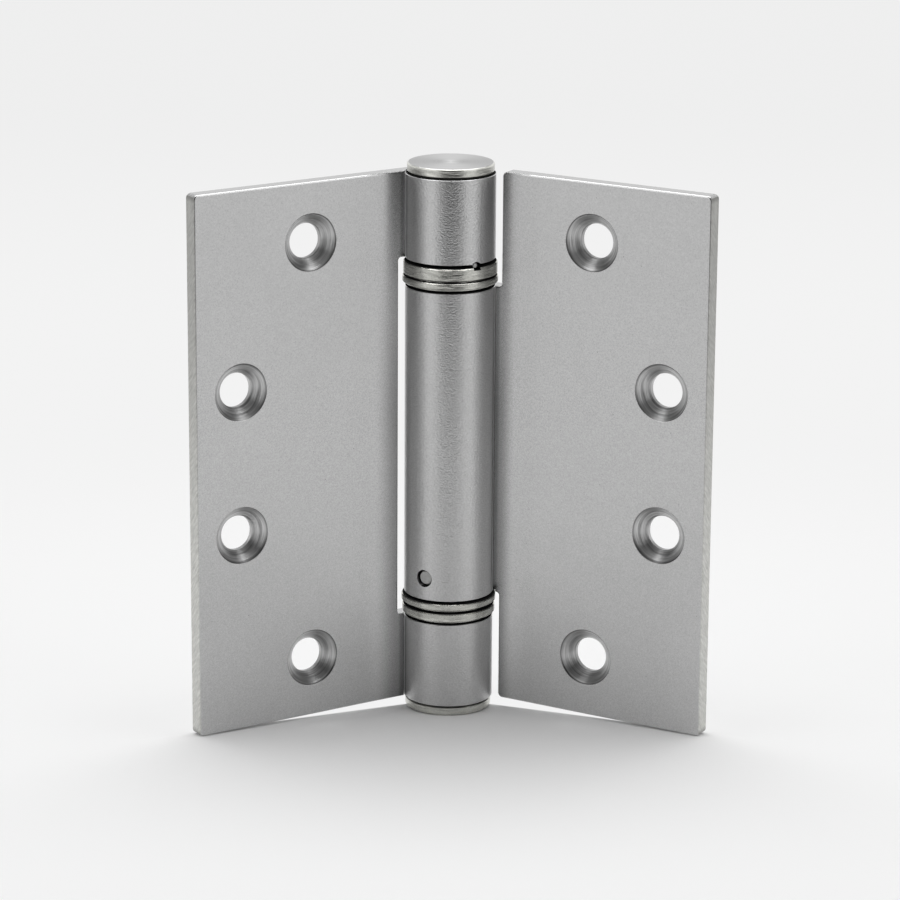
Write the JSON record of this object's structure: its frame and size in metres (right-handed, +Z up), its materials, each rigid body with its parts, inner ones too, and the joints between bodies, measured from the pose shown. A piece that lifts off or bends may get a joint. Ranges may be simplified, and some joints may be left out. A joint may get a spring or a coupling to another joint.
{
  "type": "spring hinge",
  "caption": "Single-acting spring hinge: flat leaves with countersunk screw holes, rolled round a barrel that holds a torsion spring, shown partly folded.",
  "frame": {"origin": "on the pin axis, at the underside of the bottom cap", "axes": "+Z up the pin axis; the frame leaf lies in the XZ plane and runs along -X with its countersunk face towards -Y; the door leaf is folded forward of +X"},
  "size_m": [0.0909, 0.0582, 0.1175],
  "materials": {
    "leaf_steel": "satin",
    "cap_steel": "turned",
    "ring_steel": "turned",
    "pin_steel": "ground",
    "bar_steel": "turned",
    "spring_steel": "oiled",
    "bush_metal": "sintered"
  },
  "bodies": {
    "frame_side": {"frame_leaf": "leaf_steel", "top_cap": "cap_steel", "bottom_cap": "cap_steel", "tension_arbor": "bar_steel", "tension_stop_pin": "pin_steel", "upper_thrust_collar": "ring_steel", "lower_thrust_collar": "ring_steel", "lower_bearing_washer": "ring_steel", "lower_pivot": "bar_steel", "spring_guide_rod": "bar_steel", "upper_spring_washer": "bar_steel", "torsion_spring": "spring_steel"},
    "door_side": {"door_leaf": "leaf_steel", "spring_anchor_plug": "bar_steel", "anchor_pin": "pin_steel", "upper_bush": "bush_metal", "lower_bush": "bush_metal", "upper_bearing_washer": "ring_steel", "lower_spring_washer": "bar_steel"}
  },
  "joints": [
    {"name": "leaf_swing", "type": "hinge", "parent": "frame_side", "child": "door_side", "pos_m": [0, 0, 0], "axis": [0, 0, 1], "range_deg": [-116.5, 63.5], "stiffness_Nm_per_rad": 0.41, "deforming": ["torsion_spring"]}
  ]
}
